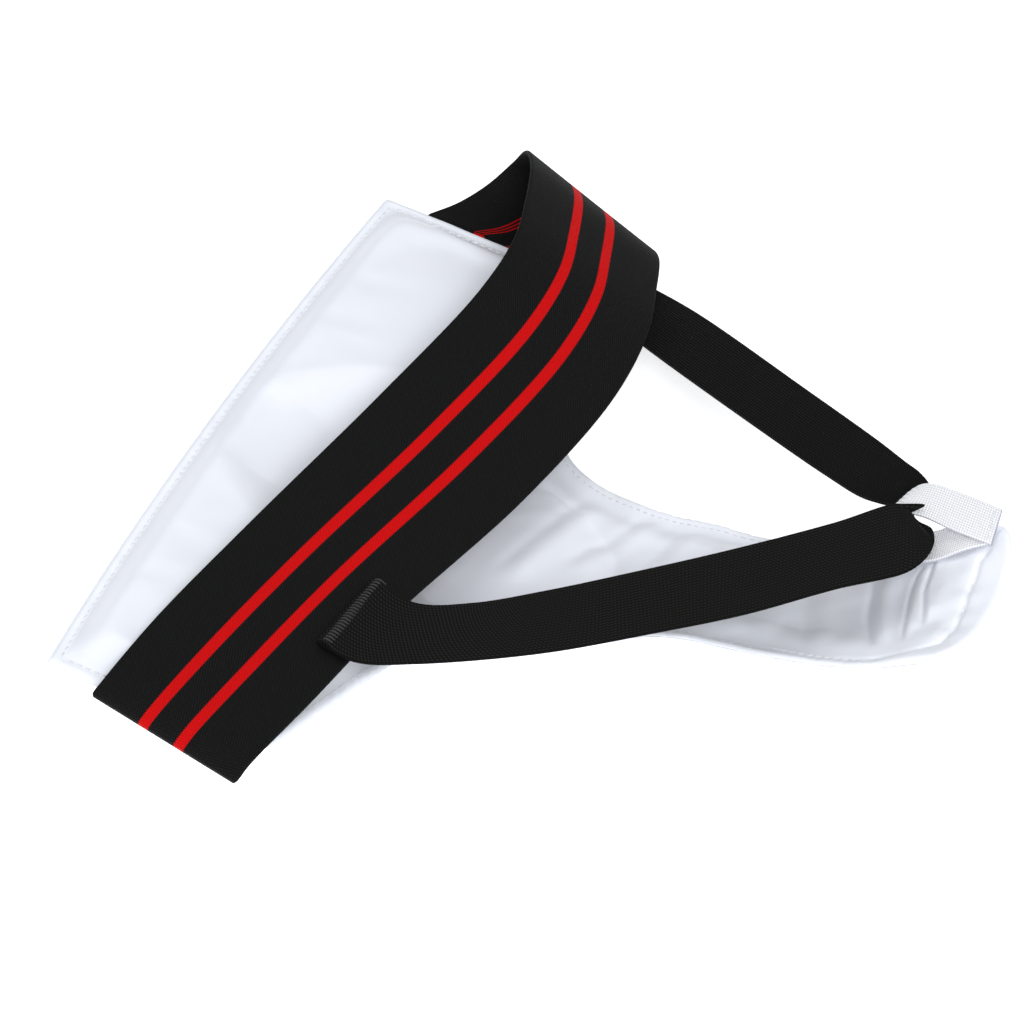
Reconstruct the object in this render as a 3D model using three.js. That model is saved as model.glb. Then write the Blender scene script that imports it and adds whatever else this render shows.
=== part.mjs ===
// Martial-arts groin guard: a padded pouch with a moulded cup sewn inside, a wide elastic
// waistband, and one leg strap that runs through a webbing loop at the crotch end.
// Millimetres. The guard lies on its front: +Z is the wearer's back, +Y the wearer's head and
// +X the wearer's right. The origin is on the flat spot on which the front of the cup rests.
import * as THREE from 'three';

// ---- driving dimensions -------------------------------------------------------------------
const WAIST_Y = 112;          // ends of the pouch's top edge
const WAIST_BOW = 6;          // how far that edge bows up in the middle
const CROTCH_Y = -162;        // round lower end of the tail
const FOLD_Y = -91;           // crease below the cup, where the tail flexes
const FOLD_GAP = 1.6;         // room for the tail to turn

const SKIN = 1.6;             // thickness of the cover and lining sheets
const PLY_GAP = 1.1;          // gap between neighbouring layers
const CUP_WALL = 2.6;
const CUP_LIFT = 0.7;         // extra room under the stiff cup, whose facets are coarser
const FOAM = 3;
const CUSHION_SLACK = 0.8;    // room above the cushions, which are soft
const PADDING = 7.6;          // height that the filling adds away from the seams
const TAIL_PADDING = 2.8;     // the same in the tail, which holds only a thin foam strip
const SEAM_FADE = 11;         // the filling reaches its full height this far from an edge

const BOWL_DEPTH = 24;        // how far the cup's bowl sinks below the surface around it
const BOWL_MIDDLE_Y = 18;
const BOWL_HALF_WIDTH = 56;
const BOWL_HALF_LENGTH = 88;

const RIM_GAP = 0.7;          // between the cup's edge and the cushion around it
const RIM_WIDTH = 5.2;
const THINNEST = 0.5;         // the cushion is never thinner than this
const PAD_TOP_Y = 102;        // abdomen pad
const PAD_HALF_WIDTH = 110;

const SEAM_INSET = 4;         // topstitching runs this far inside the edge
const THREAD = 0.45;          // radius of a sewing thread
const THREAD_LIFT = 0.8;      // height of a thread's centre above the sheet
const OVERLOCK = 0.6;         // radius of the thicker thread at the strap's ends

const BAND_THICK = 1.5;
const STRAP_THICK = 1.3;
const WEB_THICK = 1.2;

const SHEET_COLUMNS = [0, 0.08, 0.16, 0.24, 0.33, 0.45, 0.6, 0.76, 0.9, 1];   // of the half width
const CORE_COLUMNS = [0, 0.17, 0.34, 0.5, 0.67, 0.84, 1];
const ROW_STEP = 8;           // facets along a sheet

// ---- curves and surfaces of the pouch -----------------------------------------------------

// Smooth interpolation through [position, value] stations that never overshoots them.
function profile(...stations) {
  const pts = stations.sort((a, b) => a[0] - b[0]);
  const slope = pts.slice(1).map((p, i) => (p[1] - pts[i][1]) / (p[0] - pts[i][0]));
  const last = pts.length - 1;
  const tangent = pts.map((_, i) => {
    if (i === 0) return slope[0];
    if (i === last) return slope[last - 1];
    const product = slope[i - 1] * slope[i];
    return product <= 0 ? 0 : (2 * product) / (slope[i - 1] + slope[i]);
  });
  return (s) => {
    if (s <= pts[0][0]) return pts[0][1];
    if (s >= pts[last][0]) return pts[last][1];
    const i = pts.findIndex((p) => p[0] > s) - 1;
    const h = pts[i + 1][0] - pts[i][0];
    const t = (s - pts[i][0]) / h;
    const ease = t * t * (3 - 2 * t);
    const bow = t * (1 - t) * ((1 - t) * tangent[i] - t * tangent[i + 1]) * h;
    return pts[i][1] * (1 - ease) + pts[i + 1][1] * ease + bow;
  };
}

// Half the pouch's width: wide abdomen, deep leg cutouts, narrow tail with a round end.
const HALF_WAIST = 127;
const halfWidth = profile(
  [WAIST_Y, 125.5], [WAIST_Y - 3, HALF_WAIST], [60, 126.3], [38, 125.2], [35, 122.5], [28, 100],
  [21, 76], [12, 54.5], [-4, 43], [-24, 36], [-43, 31], [-72, 26.5], [-100, 26.5], [-128, 29.5],
  [-147, 31], [-153, 30.3], [-157, 28], [-160, 20], [CROTCH_Y, 10],
);

// Half the moulded cup's width: a teardrop that narrows towards the crotch.
const CUP_TOP_Y = 86;
const CUP_BOTTOM_Y = -62;
const cupHalf = profile(
  [CUP_TOP_Y, 10], [80, 22], [70, 33], [50, 42.5], [30, 42], [10, 34], [-5, 27], [-24, 20],
  [-43, 14.5], [-54, 10], [CUP_BOTTOM_Y, 5],
);

// Height of the front cover's outside along the middle line, before the bowl is sunk into it.
const spine = profile(
  [WAIST_Y, 28], [80, 22.5], [50, 17], [30, 13.5], [10, 11.5], [-5, 12], [-24, 13.5], [-43, 15],
  [-72, 17.5], [-100, 22], [-127, 31.5], [-150, 46.9], [CROTCH_Y, 53.4],
);

// How strongly the edges turn up beside the middle line (height is this times x squared).
const flare = profile(
  [WAIST_Y, 0.00015], [60, 0.0003], [35, 0.0005], [10, 0.0006], [-5, 0.0019], [-24, 0.0037],
  [-43, 0.0052], [-72, 0.0096], [-100, 0.0086], [-127, 0.0075], [-150, 0.0075],
  [CROTCH_Y, 0.007],
);

// How far the crotch end is pulled up towards the webbing loop, on the right.
const tilt = profile([-128, 0], [-150, 0.1]);

const padding = profile([-60, PADDING], [-95, TAIL_PADDING]);

function frontHeight(x, y) {
  const r2 = (x / BOWL_HALF_WIDTH) ** 2 + ((y - BOWL_MIDDLE_Y) / BOWL_HALF_LENGTH) ** 2;
  const bowl = r2 < 1 ? BOWL_DEPTH * (1 - r2) ** 1.5 : 0;
  return Math.max(0, spine(y) + flare(y) * x * x + tilt(y) * x - bowl);
}

const outline = [];
for (let y = CROTCH_Y; y <= WAIST_Y; y += 2) outline.push(new THREE.Vector2(halfWidth(y), y));

function edgeDistance(x, y) {
  const here = new THREE.Vector2(Math.abs(x), y);
  const side = Math.min(...outline.map((p) => p.distanceTo(here)));
  return Math.min(side, WAIST_Y - y, y - CROTCH_Y);
}

function backHeight(x, y) {
  const fill = THREE.MathUtils.smoothstep(edgeDistance(x, y), 0, SEAM_FADE);
  return frontHeight(x, y) + 2 * SKIN + PLY_GAP + padding(y) * fill;
}

const aboveCover = (x, y) => frontHeight(x, y) + SKIN + PLY_GAP;
const underLining = (x, y) => backHeight(x, y) - SKIN - PLY_GAP;
const cushionTop = (x, y) => underLining(x, y) - CUSHION_SLACK;

// ---- solids -------------------------------------------------------------------------------

const v3 = (x, y, z) => new THREE.Vector3(x, y, z);

// A point of the pouch. The pouch is laid out with a straight waist edge, which is bowed here.
function onPouch(x, y, z) {
  const bow = WAIST_BOW * (1 - (x / HALF_WAIST) ** 2) * THREE.MathUtils.smoothstep(y, 50, WAIST_Y);
  return v3(x, y + bow, z);
}

// A closed body from vertices and triangles, with its faces turned outwards.
function body(vertices, faces) {
  let volume = 0;
  for (const [a, b, c] of faces) {
    volume += vertices[a].dot(new THREE.Vector3().crossVectors(vertices[b], vertices[c]));
  }
  const outward = volume > 0 ? faces : faces.map(([a, b, c]) => [a, c, b]);
  const geometry = new THREE.BufferGeometry();
  geometry.setAttribute('position', new THREE.Float32BufferAttribute(
    vertices.flatMap((p) => [p.x, p.y, p.z]), 3));
  geometry.setIndex(outward.flat());
  geometry.computeVertexNormals();
  return geometry;
}

const quad = (a, b, c, d) => [[a, b, c], [a, c, d]];

// A slab through stations. Each station has equally many points on its low and high side.
function slab(stations) {
  const n = stations[0].low.length;
  const vertices = stations.flatMap((s) => [...s.low, ...s.high]);
  const low = (k, i) => 2 * n * k + i;
  const high = (k, i) => 2 * n * k + n + i;
  const faces = [];
  const end = stations.length - 1;
  for (let k = 0; k < end; k += 1) {
    for (let i = 0; i < n - 1; i += 1) {
      faces.push(...quad(low(k, i), low(k + 1, i), low(k + 1, i + 1), low(k, i + 1)));
      faces.push(...quad(high(k, i), high(k, i + 1), high(k + 1, i + 1), high(k + 1, i)));
    }
    faces.push(...quad(low(k, 0), high(k, 0), high(k + 1, 0), low(k + 1, 0)));
    faces.push(...quad(low(k, n - 1), low(k + 1, n - 1), high(k + 1, n - 1), high(k, n - 1)));
  }
  for (let i = 0; i < n - 1; i += 1) {
    faces.push(...quad(low(0, i), low(0, i + 1), high(0, i + 1), high(0, i)));
    faces.push(...quad(low(end, i), high(end, i), high(end, i + 1), low(end, i + 1)));
  }
  return body(vertices, faces);
}

// Positions from one end to the other, crowded where the outline turns quickly.
function rows(from, to, extra = []) {
  const count = Math.max(2, Math.round((from - to) / ROW_STEP));
  const even = Array.from({ length: count + 1 }, (_, i) => from + ((to - from) * i) / count);
  const wanted = [...even, ...extra].filter((y) => y <= from && y >= to).sort((a, b) => b - a);
  return wanted.filter((y, i) => i === 0 || wanted[i - 1] - y > 0.8);
}

// A layer of the pouch between two height surfaces, inside the width given by half(y).
function layer(ys, half, low, high, columns) {
  const us = [...columns.slice(1).map((u) => -u).reverse(), ...columns];
  return slab(ys.map((y) => ({
    low: us.map((u) => onPouch(u * half(y), y, low(u * half(y), y))),
    high: us.map((u) => onPouch(u * half(y), y, high(u * half(y), y))),
  })));
}

// A flat ribbon between two edge curves, with its thickness across its face.
function ribbon(pairs, thickness, steps) {
  const one = new THREE.CatmullRomCurve3(pairs.map((p) => v3(...p[0])), false, 'centripetal');
  const two = new THREE.CatmullRomCurve3(pairs.map((p) => v3(...p[1])), false, 'centripetal');
  const at = (curve, k) => curve.getPoint(k / steps);
  const stations = [];
  for (let k = 0; k <= steps; k += 1) {
    const a = at(one, k);
    const b = at(two, k);
    const ahead = at(one, Math.min(k + 0.5, steps)).add(at(two, Math.min(k + 0.5, steps)));
    const behind = at(one, Math.max(k - 0.5, 0)).add(at(two, Math.max(k - 0.5, 0)));
    const normal = new THREE.Vector3().crossVectors(ahead.sub(behind), b.clone().sub(a));
    normal.setLength(thickness / 2);
    stations.push({
      low: [a.clone().sub(normal), b.clone().sub(normal)],
      high: [a.clone().add(normal), b.clone().add(normal)],
    });
  }
  return slab(stations);
}

// A sewing thread through points.
function thread(points, radius, steps) {
  const section = new THREE.Shape();
  const sides = 6;
  for (let i = 0; i < sides; i += 1) {
    const angle = (2 * Math.PI * i) / sides;
    const [x, y] = [radius * Math.cos(angle), radius * Math.sin(angle)];
    if (i === 0) section.moveTo(x, y);
    else section.lineTo(x, y);
  }
  section.closePath();
  const path = new THREE.CatmullRomCurve3(points, false, 'centripetal');
  return new THREE.ExtrudeGeometry(section, { steps, extrudePath: path, bevelEnabled: false });
}

const onLining = (x, y, lift = THREAD_LIFT) => onPouch(x, y, backHeight(x, y) + lift);

const guard = new THREE.Group();

function add(name, geometry, color, roughness, metalness = 0) {
  const mesh = new THREE.Mesh(geometry, new THREE.MeshStandardMaterial({ color, roughness, metalness }));
  mesh.name = name;
  guard.add(mesh);
}

const WHITE_SKIN = 0xe4e8f2;
const WHITE_THREAD = 0xf4f5f7;
const CUP_PLASTIC = 0xd8dad6;
const FOAM_GREY = 0xb9bcc0;
const BLACK_ELASTIC = 0x151517;
const GREY_THREAD = 0x6a6c70;

// ---- pouch --------------------------------------------------------------------------------
const cutoutRows = [38, 36, 34, 31, 28, 25, 21, 17, 12, 7, -1];
const bodyRows = rows(WAIST_Y, FOLD_Y + FOLD_GAP / 2, [110, ...cutoutRows]);
const tailRows = rows(FOLD_Y - FOLD_GAP / 2, CROTCH_Y, [-151, -154, -156.5, -158.5, -160.5]);
const coverTop = (x, y) => frontHeight(x, y) + SKIN;
const liningBottom = (x, y) => backHeight(x, y) - SKIN;

add('front_cover', layer(bodyRows, halfWidth, frontHeight, coverTop, SHEET_COLUMNS), WHITE_SKIN, 0.45);
add('back_lining', layer(bodyRows, halfWidth, liningBottom, backHeight, SHEET_COLUMNS), WHITE_SKIN, 0.5);
add('tail_cover', layer(tailRows, halfWidth, frontHeight, coverTop, CORE_COLUMNS), WHITE_SKIN, 0.45);
add('tail_lining', layer(tailRows, halfWidth, liningBottom, backHeight, CORE_COLUMNS), WHITE_SKIN, 0.5);

// Moulded cup and the foam that lines it, both following the bowl of the cover.
const cupRows = rows(CUP_TOP_Y, CUP_BOTTOM_Y, [84, -59]);
const cupBottom = (x, y) => aboveCover(x, y) + CUP_LIFT;
const cupTop = (x, y) => cupBottom(x, y) + CUP_WALL;
const foamBottom = (x, y) => cupTop(x, y) + PLY_GAP;
const foamTop = (x, y) => Math.min(foamBottom(x, y) + FOAM, underLining(x, y));
const foamHalf = (y) => cupHalf(y) - 2;
add('hard_cup', layer(cupRows, cupHalf, cupBottom, cupTop, CORE_COLUMNS), CUP_PLASTIC, 0.35);
add('cup_foam_liner', layer(cupRows, foamHalf, foamBottom, foamTop, CORE_COLUMNS), FOAM_GREY, 0.95);

// Soft cushion around the edge of the cup: a closed ring that follows the teardrop.
function rimCushion() {
  const side = cupRows.map((y) => new THREE.Vector2(cupHalf(y), y));
  const ring = [...side, ...side.map((p) => new THREE.Vector2(-p.x, p.y)).reverse()];
  const count = ring.length;
  const sections = ring.map((p, i) => {
    const along = ring[(i + 1) % count].clone().sub(ring[(i + count - 1) % count]).normalize();
    const outward = new THREE.Vector2(-along.y, along.x);
    if (outward.dot(p.clone().sub(new THREE.Vector2(0, BOWL_MIDDLE_Y))) < 0) outward.negate();
    const near = p.clone().addScaledVector(outward, RIM_GAP);
    const far = p.clone().addScaledVector(outward, RIM_GAP + RIM_WIDTH);
    const top = (q) => Math.max(cupBottom(q.x, q.y) + THINNEST, cushionTop(q.x, q.y));
    return [
      onPouch(near.x, near.y, cupBottom(near.x, near.y)),
      onPouch(far.x, far.y, cupBottom(far.x, far.y)),
      onPouch(far.x, far.y, top(far)),
      onPouch(near.x, near.y, top(near)),
    ];
  });
  const faces = [];
  for (let k = 0; k < count; k += 1) {
    const next = (k + 1) % count;
    for (let i = 0; i < 4; i += 1) {
      const j = (i + 1) % 4;
      faces.push(...quad(4 * k + i, 4 * k + j, 4 * next + j, 4 * next + i));
    }
  }
  return body(sections.flat(), faces);
}
add('cup_rim_cushion', rimCushion(), FOAM_GREY, 0.95);

// Abdomen pad: fills the wide part, with an arch cut out for the cup and its cushion.
const archEdge = profile([0, 98], [25, 95], [40, 87], [50, 72], [55, 56], [58, 48], [117, 48]);
const padColumns = rows(PAD_HALF_WIDTH, -PAD_HALF_WIDTH, [-58, -55, -50, -45, 45, 50, 55, 58]);
const padLevels = [0, 0.25, 0.5, 0.75, 1];
const padSection = (x, height) => padLevels.map((t) => {
  const y = PAD_TOP_Y + (archEdge(Math.abs(x)) - PAD_TOP_Y) * t;
  return onPouch(x, y, height(x, y));
});
add('abdomen_pad', slab(padColumns.map((x) => ({
  low: padSection(x, aboveCover),
  high: padSection(x, cushionTop),
}))), FOAM_GREY, 0.95);

// Thin foam strip in the tail.
const stripRows = rows(FOLD_Y - 4, CROTCH_Y + 12);
const stripHalf = (y) => halfWidth(y) - 9;
const STRIP_COLUMNS = [0, 0.5, 1];
add('tail_foam_strip', layer(stripRows, stripHalf, aboveCover, underLining, STRIP_COLUMNS), FOAM_GREY, 0.95);

// ---- topstitching -------------------------------------------------------------------------
const seamX = (y) => halfWidth(y) - SEAM_INSET;
const waistSeamY = WAIST_Y - SEAM_INSET;
const acrossWaist = Array.from({ length: 17 }, (_, i) => (i / 8 - 1) * 120);
add('waist_edge_stitch', thread(acrossWaist.map((x) => onLining(x, waistSeamY)), THREAD, 32),
  WHITE_THREAD, 0.6);

const BAND_SEAM_INSET = 8;    // second row of stitches, which holds the waistband's end
for (const [side, sign] of [['right', 1], ['left', -1]]) {
  const sideSeam = [106, 92, 75, 60, 50, 42].map((y) => onLining(sign * seamX(y), y));
  add(`side_edge_stitch_${side}`, thread(sideSeam, THREAD, 14), WHITE_THREAD, 0.6);
  const bandSeam = [95, 75, 56, 42].map((y) => onLining(sign * (halfWidth(y) - BAND_SEAM_INSET), y));
  add(`waistband_seam_stitch_${side}`, thread(bandSeam, THREAD, 12), WHITE_THREAD, 0.6);
  const legSeam = [[110, 38], [96, 33], [78, 27], [64, 21], [54, 14], [45, 4], [38.5, -9],
    [32, -28], [27, -46], [22.8, -68], [22.3, -80], [22.3, FOLD_Y + 3]];
  add(`leg_edge_stitch_${side}`, thread(legSeam.map(([x, y]) => onLining(sign * x, y, 2 * THREAD_LIFT)),
    THREAD, 30), WHITE_THREAD, 0.6);
}

const crotchSeam = [[-22.3, -95], [-23.5, -112], [-25.8, -129], [-24.9, -137], [-24.3, -145],
  [-21.5, -151], [-14, -152.9], [-5, -152.4], [5, -151.5], [12.5, -151]];
add('crotch_seam_stitch', thread(crotchSeam.map(([x, y]) => onLining(x, y, 2 * THREAD_LIFT)),
  THREAD, 30), WHITE_THREAD, 0.6);

// ---- waistband: elastic sewn to both side edges, folded back flat on the left and curling
// over in an open loop on the right. Each pair is a point on its waist edge and on its other edge.
const bandRulings = [
  [[-128.2, 93, 29.8], [-126.8, 40, 23.3]],
  [[-131.3, 91, 31.8], [-139, 34.5, 28]],
  [[-134, 91, 35], [-148.5, 33, 33.5]],
  [[-130.5, 89, 38.5], [-143.5, 31, 37]],
  [[-103, 84, 43.5], [-114, 25, 38.5]],
  [[-56, 74.5, 47.5], [-66, 18, 37]],
  [[14, 60, 52], [2.5, 3, 35]],
  [[69, 49, 58], [60, -4, 34]],
  [[95, 48, 61], [97, -1.5, 33]],
  [[116, 53, 60], [120, 5, 31.5]],
  [[141, 62, 55], [142, 13, 27.5]],
  [[158, 72, 45], [152, 21, 20.5]],
  [[161, 78, 35.5], [153, 27, 14]],
  [[153, 84, 29.5], [146, 32, 12]],
  [[140, 90, 28.5], [136.5, 37, 14.5]],
  [[128.2, 96, 30], [126.8, 43, 23.5]],
];
add('waistband', ribbon(bandRulings, BAND_THICK, 72), BLACK_ELASTIC, 0.85);

// ---- leg strap: both ends are sewn on the outside of the waistband. It turns back on itself in
// the webbing loop, where it is bunched to half its width. Each pair is an inner-edge point and
// an outer-edge point, from its right-hand end to its left-hand end. The sewn ends are bodies of
// their own, a little apart from the run between them, which swings where it leaves the band.
const rightHem = [
  [[131, 44, 11.8], [155, 43, 9.3]],
  [[127.3, 34.8, 10.9], [151, 30, 7.6]],
];
const strapRulings = [
  [[126.4, 32.8, 11.2], [150.2, 28, 8]],
  [[118, 18, 14], [143, 14, 12]],
  [[103, 2, 22], [126, -10, 22]],
  [[68, -48, 37], [90, -62, 37]],
  [[45, -86, 45], [66, -98, 46]],
  [[38.5, -104, 50], [56, -111, 50]],
  [[38.5, -115, 51], [49, -120.5, 51]],
  [[34, -121, 52], [37, -128, 53]],
  [[26, -123, 53], [25, -133.5, 54.6]],
  [[19.5, -122, 54.5], [12, -136.5, 56.5]],
  [[18.5, -119.5, 59.3], [3, -134, 58.8]],
  [[23.5, -116, 60], [-4, -128, 58.5]],
  [[12, -102, 57.5], [-15, -113, 56.5]],
  [[-5, -76, 51], [-31, -89, 50]],
  [[-24, -48, 46], [-46, -64, 45]],
  [[-41, -24, 43], [-66, -34, 42]],
  [[-55, -5, 42.5], [-86, 1, 41.2]],
  [[-61, 11.5, 41], [-93, 17.6, 41.2]],
];
const leftHem = [
  [[-60.8, 13.4, 41], [-93, 19.5, 41.2]],
  [[-57, 29, 41.4], [-91, 33, 41.8]],
];
add('leg_strap', ribbon(strapRulings, STRAP_THICK, 80), BLACK_ELASTIC, 0.9);
add('strap_hem_right', ribbon(rightHem, STRAP_THICK, 2), BLACK_ELASTIC, 0.9);
add('strap_hem_left', ribbon(leftHem, STRAP_THICK, 2), BLACK_ELASTIC, 0.9);

// Overlocked ends of the strap: a zigzag of thicker thread across its whole width.
const ZIGZAGS = 14;
const ZIGZAG_REACH = 2.2;
function zigzag(from, to, reach) {
  return Array.from({ length: 2 * ZIGZAGS + 1 }, (_, i) => {
    const p = from.clone().lerp(to, i / (2 * ZIGZAGS));
    return p.add(v3(0, i % 2 ? reach : -reach, 0));
  });
}
const leftEnd = zigzag(v3(-57.5, 26.5, 43.2), v3(-90.5, 30, 43.6), ZIGZAG_REACH);
const rightEnd = zigzag(v3(130, 40, 9.2), v3(153, 40, 6.6), ZIGZAG_REACH);
add('strap_end_stitch_left', thread(leftEnd, OVERLOCK, 4 * ZIGZAGS), GREY_THREAD, 0.8);
add('strap_end_stitch_right', thread(rightEnd, OVERLOCK, 4 * ZIGZAGS), GREY_THREAD, 0.8);

// ---- webbing loop: both ends sewn to the crotch end, one on top of the other.
const loopRulings = [
  [[18, -151, 60.8], [32, -150, 65]],
  [[22, -139, 60], [37, -138, 62.3]],
  [[26, -126, 58], [40, -125.5, 59.8]],
  [[25.5, -117, 56.8], [40, -121, 58.2]],
  [[23.5, -113, 55], [37, -117.5, 56.2]],
  [[20, -110.8, 51.5], [32.5, -114.6, 51.8]],
  [[17, -113, 48.4], [29, -117.5, 48.4]],
  [[15.5, -121.5, 47.3], [28.5, -124, 47.6]],
  [[15, -134, 50.3], [28.6, -132, 51.4]],
  [[18, -145, 57.3], [31.5, -143, 60.3]],
  [[20, -150.5, 59.8], [33.5, -149.5, 63.5]],
];
add('webbing_loop', ribbon(loopRulings, WEB_THICK, 44), WHITE_THREAD, 0.75);
const loopSeam = [v3(19, -149, 62.1), v3(24.5, -148.6, 63.7), v3(30, -148.2, 65.5)];
add('loop_seam_stitch', thread(loopSeam, THREAD, 8), WHITE_THREAD, 0.6);

export default guard;
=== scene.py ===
"""Looks of the padded groin protector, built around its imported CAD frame.
Lengths in this file are millimetres until a mesh is made, in the row frame: +Z the wearer's
back, +Y the head, +X the right."""

import bpy
import numpy as np
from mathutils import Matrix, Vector


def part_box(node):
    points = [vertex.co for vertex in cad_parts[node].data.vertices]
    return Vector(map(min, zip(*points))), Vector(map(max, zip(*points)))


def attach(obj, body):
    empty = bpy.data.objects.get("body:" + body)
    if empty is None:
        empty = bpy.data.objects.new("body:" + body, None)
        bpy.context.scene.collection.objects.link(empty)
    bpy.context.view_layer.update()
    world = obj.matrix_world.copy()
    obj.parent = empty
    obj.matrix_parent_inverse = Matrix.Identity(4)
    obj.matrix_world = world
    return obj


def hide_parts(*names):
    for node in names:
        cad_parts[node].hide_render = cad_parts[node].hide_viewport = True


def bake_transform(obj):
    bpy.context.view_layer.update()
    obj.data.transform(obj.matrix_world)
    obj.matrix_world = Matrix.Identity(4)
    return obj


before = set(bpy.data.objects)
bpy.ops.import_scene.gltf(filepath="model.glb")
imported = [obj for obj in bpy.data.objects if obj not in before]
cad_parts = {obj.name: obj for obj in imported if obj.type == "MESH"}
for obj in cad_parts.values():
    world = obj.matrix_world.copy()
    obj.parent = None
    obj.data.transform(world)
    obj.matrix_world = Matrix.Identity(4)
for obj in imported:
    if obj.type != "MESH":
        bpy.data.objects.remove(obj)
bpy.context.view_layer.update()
MM = 0.001

# ---- camera and light ----------------------------------------------------------------------
CAMERA_AT = (-0.9954, -0.4410, 1.0704)
CAMERA_AIM = (-0.08095, -0.03045, 0.1154)
LENS_MM, SENSOR_MM = 160.24, 36
scene = bpy.context.scene
scene.view_settings.view_transform = "Standard"


def aim(obj, at, target):
    obj.location = at
    obj.rotation_euler = (Vector(target) - Vector(at)).to_track_quat("-Z", "Y").to_euler()


camera = bpy.data.objects.new("camera", bpy.data.cameras.new("camera"))
scene.collection.objects.link(camera)
camera.data.lens = LENS_MM
camera.data.sensor_width = SENSOR_MM
camera.data.clip_end = 20
aim(camera, CAMERA_AT, CAMERA_AIM)
scene.camera = camera

LIGHTS = [   # name, place, aim, size, watts, colour
    ("top", (0.25, -0.1, 2.1), (0, 0, 0), 1.3, 9, (1.0, 0.997, 0.99)),
    ("left", (-0.7, 2.1, 1.3), (0, 0, 0), 1.5, 4, (1.0, 0.995, 0.985)),
    ("front", (-1.3, -0.8, 1.5), (0, -0.02, 0), 0.8, 26, (0.98, 0.99, 1.0)),
    ("side", (0.6, -2.0, 1.0), (0, 0, 0), 1.6, 3, (0.97, 0.98, 1.0)),
]
for name, at, target, size, watts, color in LIGHTS:
    lamp = bpy.data.lights.new(name, "AREA")
    lamp.size, lamp.energy, lamp.color = size, watts, color
    light = bpy.data.objects.new(name, lamp)
    scene.collection.objects.link(light)
    aim(light, at, target)

WORLD_COLOR, WORLD_STRENGTH = (0.96, 0.98, 1.0, 1), 0.47
world = bpy.data.worlds.new("studio")
world.use_nodes = True
sky = world.node_tree.nodes["Background"]
sky.inputs["Color"].default_value = WORLD_COLOR
sky.inputs["Strength"].default_value = WORLD_STRENGTH
scene.world = world


# ---- materials -----------------------------------------------------------------------------
class Nodes:
    """A material's node tree with short helpers."""

    def __init__(self, name, roughness, **sockets):
        self.material = bpy.data.materials.new(name)
        self.material.use_nodes = True
        self.tree = self.material.node_tree
        self.shader = self.tree.nodes["Principled BSDF"]
        self.shader.inputs["Roughness"].default_value = roughness
        for key, value in sockets.items():
            self.shader.inputs[key.replace("_", " ")].default_value = value
        self.bump = None

    def add(self, kind, **props):
        node = self.tree.nodes.new(kind)
        for key, value in props.items():
            setattr(node, key, value)
        return node

    def link(self, a, b):
        if hasattr(a, "default_value") or hasattr(a, "is_linked"):
            self.tree.links.new(a, b)
        else:
            b.default_value = a

    def math(self, operation, a, b=0.0, clamp=False):
        node = self.add("ShaderNodeMath", operation=operation, use_clamp=clamp)
        self.link(a, node.inputs[0])
        self.link(b, node.inputs[1])
        return node.outputs[0]

    def noise(self, scale, detail=2.0, vector=None, roughness=0.5):
        node = self.add("ShaderNodeTexNoise")
        node.inputs["Scale"].default_value = scale
        node.inputs["Detail"].default_value = detail
        node.inputs["Roughness"].default_value = roughness
        if vector is None:
            vector = self.add("ShaderNodeTexCoord").outputs["Object"]
        self.link(vector, node.inputs["Vector"])
        return node.outputs["Fac"]

    def ramp(self, fac, stops):
        node = self.add("ShaderNodeValToRGB")
        elements = node.color_ramp.elements
        while len(elements) < len(stops):
            elements.new(0.5)
        for element, (position, color) in zip(elements, stops):
            element.position = position
            element.color = (*color, 1)
        self.link(fac, node.inputs["Fac"])
        return node.outputs["Color"]

    def mix(self, fac, a, b):
        node = self.add("ShaderNodeMix", data_type="RGBA")
        self.link(fac, node.inputs["Factor"])
        for value, socket in ((a, node.inputs["A"]), (b, node.inputs["B"])):
            if isinstance(value, tuple):
                socket.default_value = (*value, 1)
            else:
                self.link(value, socket)
        return node.outputs["Result"]

    def color(self, value):
        if isinstance(value, tuple):
            self.shader.inputs["Base Color"].default_value = (*value, 1)
        else:
            self.link(value, self.shader.inputs["Base Color"])

    def add_bump(self, height, strength, distance):
        node = self.add("ShaderNodeBump")
        node.inputs["Strength"].default_value = strength
        node.inputs["Distance"].default_value = distance
        self.link(height, node.inputs["Height"])
        if self.bump is not None:
            self.link(self.bump, node.inputs["Normal"])
        self.bump = node.outputs["Normal"]
        self.link(self.bump, self.shader.inputs["Normal"])

    def strip_mm(self):
        """Position on a woven strip: across and along in millimetres, and 1 on its inner face."""
        attribute = self.add("ShaderNodeAttribute", attribute_name="strip_mm")
        split = self.add("ShaderNodeSeparateXYZ")
        self.link(attribute.outputs["Vector"], split.inputs[0])
        return split.outputs

    def wave(self, a, per_mm):
        """Sine between 0 and 1 of a length in millimetres."""
        turn = self.math("MULTIPLY", a, 2 * np.pi * per_mm)
        return self.math("ADD", self.math("MULTIPLY", self.math("SINE", turn), 0.5), 0.5)


def satin():
    n = Nodes("white_satin", 0.36, Sheen_Weight=0.12, Sheen_Roughness=0.4, Coat_Weight=0.08,
              Coat_Roughness=0.35)
    cloud = n.noise(22, 3)
    n.color(n.ramp(cloud, [(0.3, (0.835, 0.86, 0.925)), (0.7, (0.865, 0.885, 0.945))]))
    rough = n.noise(260, 4)
    n.link(n.math("ADD", n.math("MULTIPLY", rough, 0.14), 0.3), n.shader.inputs["Roughness"])
    n.add_bump(n.noise(2600, 2), 0.10, 0.00012)
    n.add_bump(n.noise(70, 4), 0.12, 0.0012)
    return n.material


def thread_white(name, color):
    n = Nodes(name, 0.55, Sheen_Weight=0.2)
    n.color(n.ramp(n.noise(900, 2), [(0.35, tuple(0.85 * c for c in color)), (0.65, color)]))
    n.add_bump(n.noise(3500, 2), 0.4, 0.0002)
    return n.material


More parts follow.
